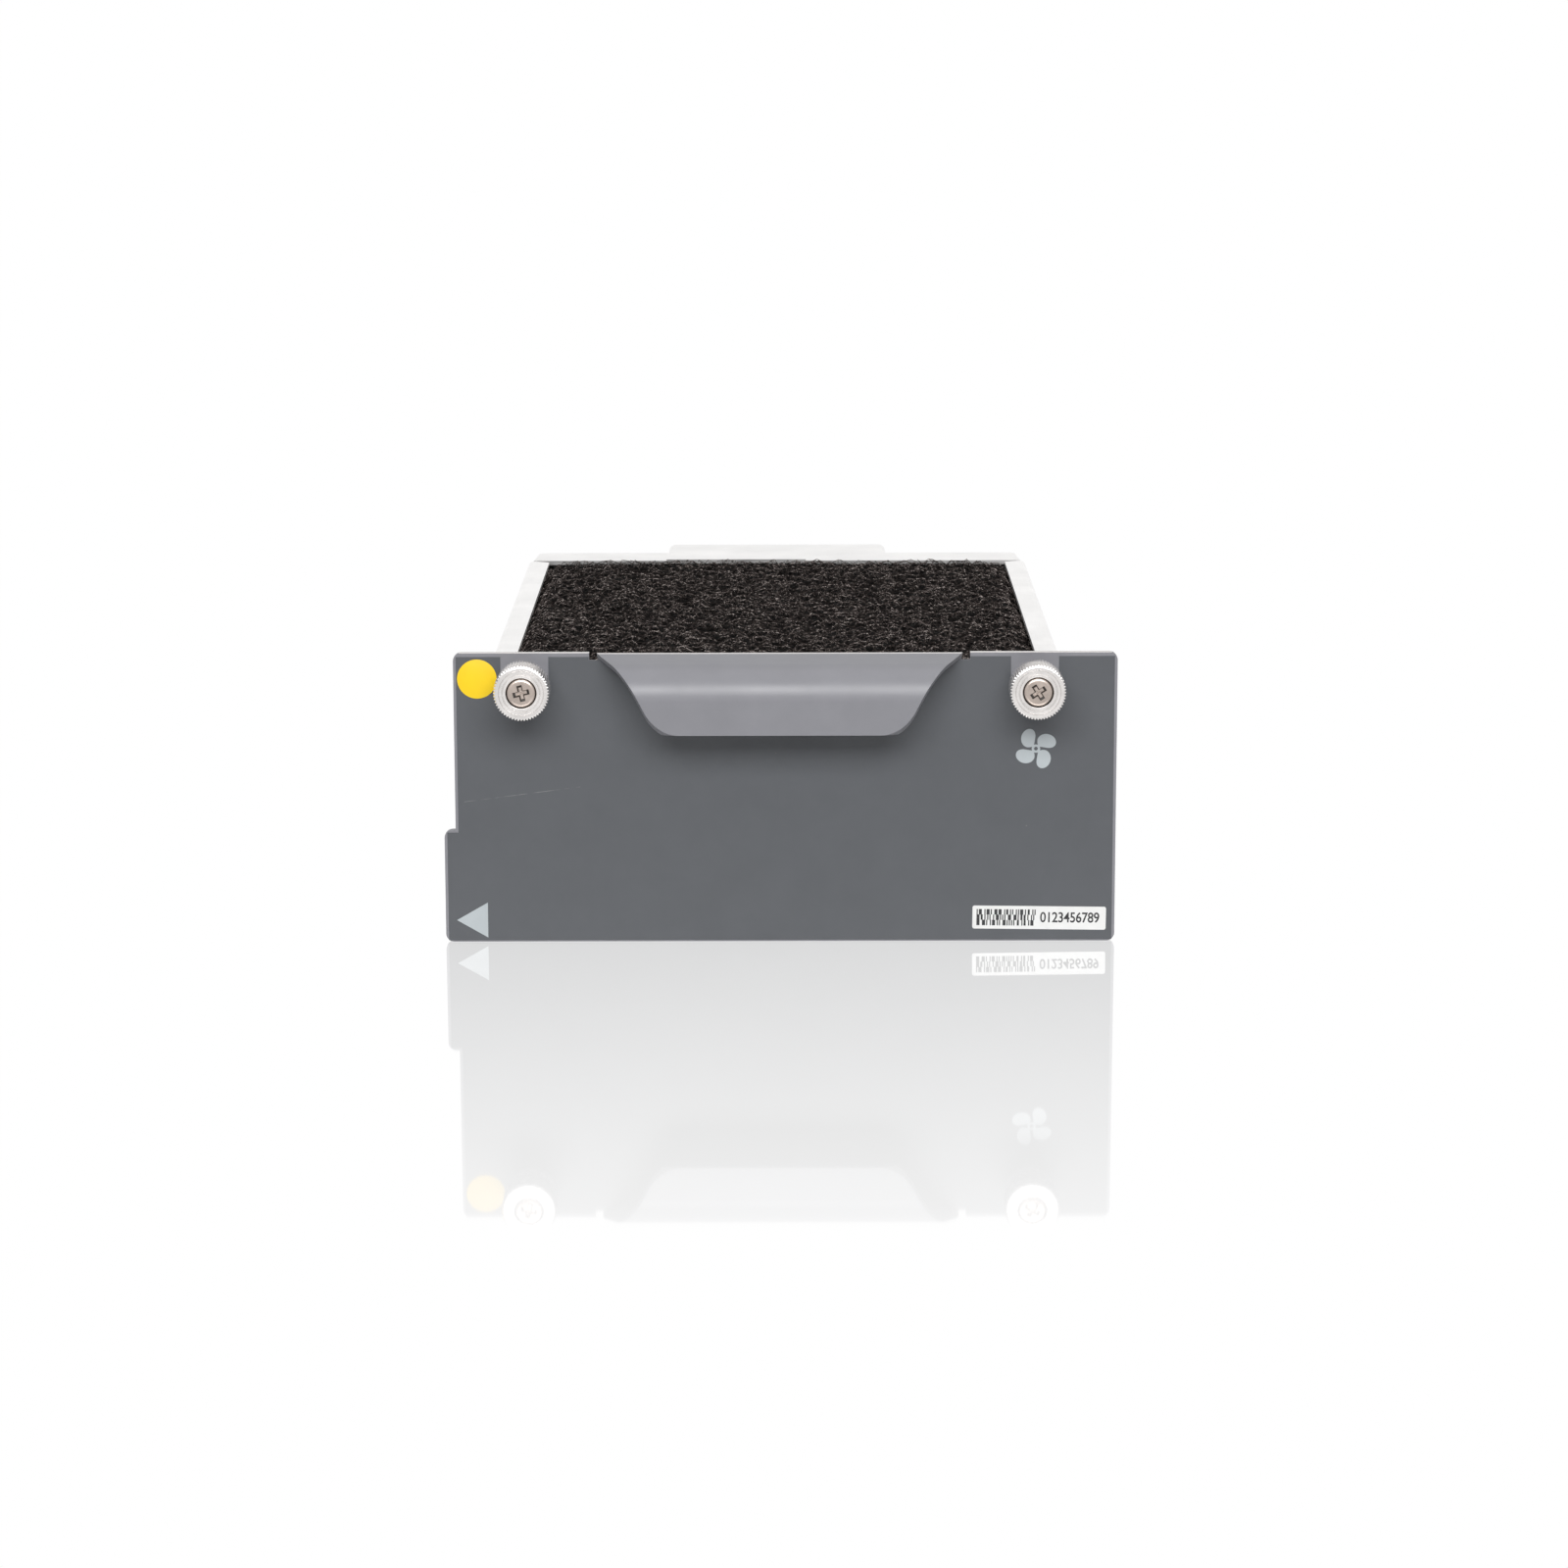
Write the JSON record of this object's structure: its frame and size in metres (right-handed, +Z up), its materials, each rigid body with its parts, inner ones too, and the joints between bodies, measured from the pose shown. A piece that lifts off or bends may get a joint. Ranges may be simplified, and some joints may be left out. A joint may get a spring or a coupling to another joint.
{
  "type": "switch fan tray",
  "caption": "Slide-in fan tray for a network switch: coated faceplate with folded pull handle and captive thumbscrews, open sheet tray, foam filter over axial fans.",
  "frame": {"origin": "middle of the bounding box's base: midway across the faceplate, midway between the knobs' front and the hood's back, at the height of the faceplate's bottom edge", "axes": "+Y the way the tray slides into the chassis, the faceplate faces -Y; +X to the right seen from the front; +Z up, towards the filter"},
  "size_m": [0.1618, 0.2922, 0.0709],
  "materials": {
    "plate_coat": "satin dark grey powder coat",
    "zinc_sheet": "bare zinc-plated sheet, satin",
    "knob_metal": "bright turned metal, knurled",
    "screw_metal": "nickel-plated steel",
    "spring_steel": "drawn spring wire",
    "filter_foam": "open-cell black foam",
    "fan_plastic": "black glass-filled plastic, fine grain",
    "magnet": "matt ferrite ring",
    "bearing_steel": "polished",
    "stator_steel": "stacked sheets",
    "copper_wire": "enamelled copper winding",
    "circuit_board": "green solder mask",
    "connector_plastic": "black moulding",
    "socket_plastic": "natural nylon",
    "contact_metal": "gold-plated",
    "lead_jacket": "black sleeve"
  },
  "bodies": {
    "tray": {"faceplate": "plate_coat", "left_screw_retainer": "screw_metal", "right_screw_retainer": "screw_metal", "tray_pan": "zinc_sheet", "faceplate_studs": "screw_metal", "faceplate_nuts": "screw_metal", "filter_grille": "zinc_sheet", "foam_filter": "filter_foam", "grille_rails": "zinc_sheet", "rail_rivets": "knob_metal", "rear_housing": "zinc_sheet", "housing_rivets": "knob_metal", "control_board": "circuit_board", "board_standoffs": "screw_metal", "board_screws": "screw_metal", "backplane_connector": "connector_plastic", "connector_contacts": "contact_metal", "fan_sockets": "socket_plastic", "lead_clips": "socket_plastic", "front_fan_frame": "fan_plastic", "front_fan_bearings": "bearing_steel", "front_fan_stator": "stator_steel", "front_fan_coils": "copper_wire", "front_driver_board": "circuit_board", "front_finger_guard": "zinc_sheet", "front_fan_screws": "screw_metal", "front_fan_plug": "socket_plastic", "front_fan_lead": "lead_jacket", "rear_fan_frame": "fan_plastic", "rear_fan_bearings": "bearing_steel", "rear_fan_stator": "stator_steel", "rear_fan_coils": "copper_wire", "rear_driver_board": "circuit_board", "rear_finger_guard": "zinc_sheet", "rear_fan_screws": "screw_metal", "rear_fan_plug": "socket_plastic", "rear_fan_lead": "lead_jacket"},
    "front_rotor": {"front_impeller": "fan_plastic", "front_rotor_magnet": "magnet", "front_fan_shaft": "bearing_steel"},
    "rear_rotor": {"rear_impeller": "fan_plastic", "rear_rotor_magnet": "magnet", "rear_fan_shaft": "bearing_steel"},
    "left_spring": {"left_screw_spring": "spring_steel"},
    "left_thumbscrew": {"left_thumb_knob": "knob_metal", "left_captive_screw": "screw_metal"},
    "right_spring": {"right_screw_spring": "spring_steel"},
    "right_thumbscrew": {"right_thumb_knob": "knob_metal", "right_captive_screw": "screw_metal"}
  },
  "joints": [
    {"name": "front_fan_spin", "type": "hinge", "parent": "tray", "child": "front_rotor", "pos_m": [-0.00095, -0.0681, 0.025], "axis": [0, 0, 1], "continuous": true},
    {"name": "rear_fan_spin", "type": "hinge", "parent": "tray", "child": "rear_rotor", "pos_m": [-0.00095, 0.0515, 0.025], "axis": [0, 0, 1], "continuous": true},
    {"name": "left_screw_travel", "type": "slide", "parent": "tray", "child": "left_spring", "axis": [0, 1, 0], "range_m": [0, 0.0052], "stiffness_N_per_m": 300, "springref_m": -0.003, "deforming": ["left_screw_spring"]},
    {"name": "left_screw_turn", "type": "hinge", "parent": "left_spring", "child": "left_thumbscrew", "pos_m": [-0.0611, -0.1309, 0.0637], "axis": [0, 1, 0], "continuous": true},
    {"name": "right_screw_travel", "type": "slide", "parent": "tray", "child": "right_spring", "axis": [0, 1, 0], "range_m": [0, 0.0052], "stiffness_N_per_m": 300, "springref_m": -0.003, "deforming": ["right_screw_spring"]},
    {"name": "right_screw_turn", "type": "hinge", "parent": "right_spring", "child": "right_thumbscrew", "pos_m": [0.0611, -0.1309, 0.0637], "axis": [0, 1, 0], "continuous": true}
  ]
}
